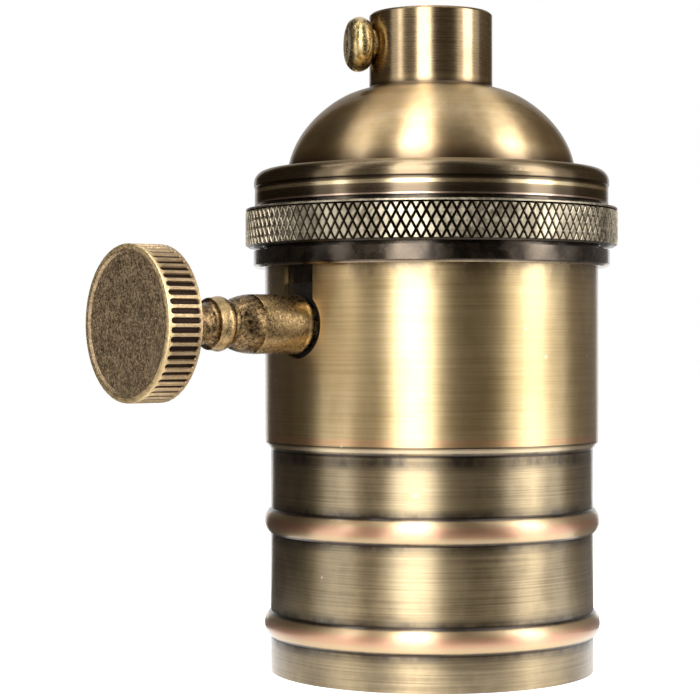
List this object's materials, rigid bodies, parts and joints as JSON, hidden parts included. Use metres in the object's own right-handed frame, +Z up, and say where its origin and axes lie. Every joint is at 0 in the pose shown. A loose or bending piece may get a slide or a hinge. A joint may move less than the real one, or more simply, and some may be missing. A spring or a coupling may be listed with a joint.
{
  "type": "pendant lamp holder with rotary switch",
  "caption": "Antique brass pendant lamp holder for Edison screw lamps, with a domed cap, a knurled shade ring and a rotary knob switch in its side.",
  "frame": {"origin": "centre of the open rim that takes the lamp, on the main axis", "axes": "+Z up the main axis towards the threaded neck; -X along the switch stem towards the knob"},
  "size_m": [0.0617, 0.0422, 0.0743],
  "materials": {
    "aged_brass": "brushed antique brass with dark patina in the recesses",
    "polished_brass": "glossy antique brass, turned",
    "dark_brass": "nearly black patina",
    "knurled_brass": "greyish antique brass",
    "bronze": "mottled aged bronze with rubbed edges",
    "bright_brass": "bright yellow brass",
    "contact_brass": "clean rolled brass",
    "spring_steel": "spring steel",
    "phenolic": "black moulded phenolic",
    "fibre": "red-brown vulcanised fibre"
  },
  "bodies": {
    "holder": {"shell": "aged_brass", "collar": "dark_brass", "dome_cap": "polished_brass", "set_screw": "bright_brass", "shaft_bush": "contact_brass", "index_spring": "spring_steel", "lamp_blade": "contact_brass", "line_terminal": "contact_brass", "neutral_terminal": "contact_brass", "centre_contact": "contact_brass", "centre_rivet": "contact_brass", "screw_shell": "contact_brass", "shell_screws": "contact_brass", "lamp_body": "phenolic", "switch_cover": "phenolic", "body_screws": "spring_steel", "terminal_screws": "contact_brass", "cap_insulator": "fibre"},
    "switch_knob": {"knob": "bronze", "switch_shaft": "contact_brass", "shaft_clip": "spring_steel", "rotor": "phenolic", "rotor_strap": "contact_brass"},
    "shade_ring": {"knurled_ring": "knurled_brass"}
  },
  "joints": [
    {"name": "knob_turn", "type": "hinge", "parent": "holder", "child": "switch_knob", "pos_m": [-0.03, 0, 0.039], "axis": [-1, 0, 0], "continuous": true},
    {"name": "ring_turn", "type": "hinge", "parent": "holder", "child": "shade_ring", "pos_m": [0, 0, 0.05], "axis": [0, 0, 1], "range_deg": [-140, 170]}
  ]
}
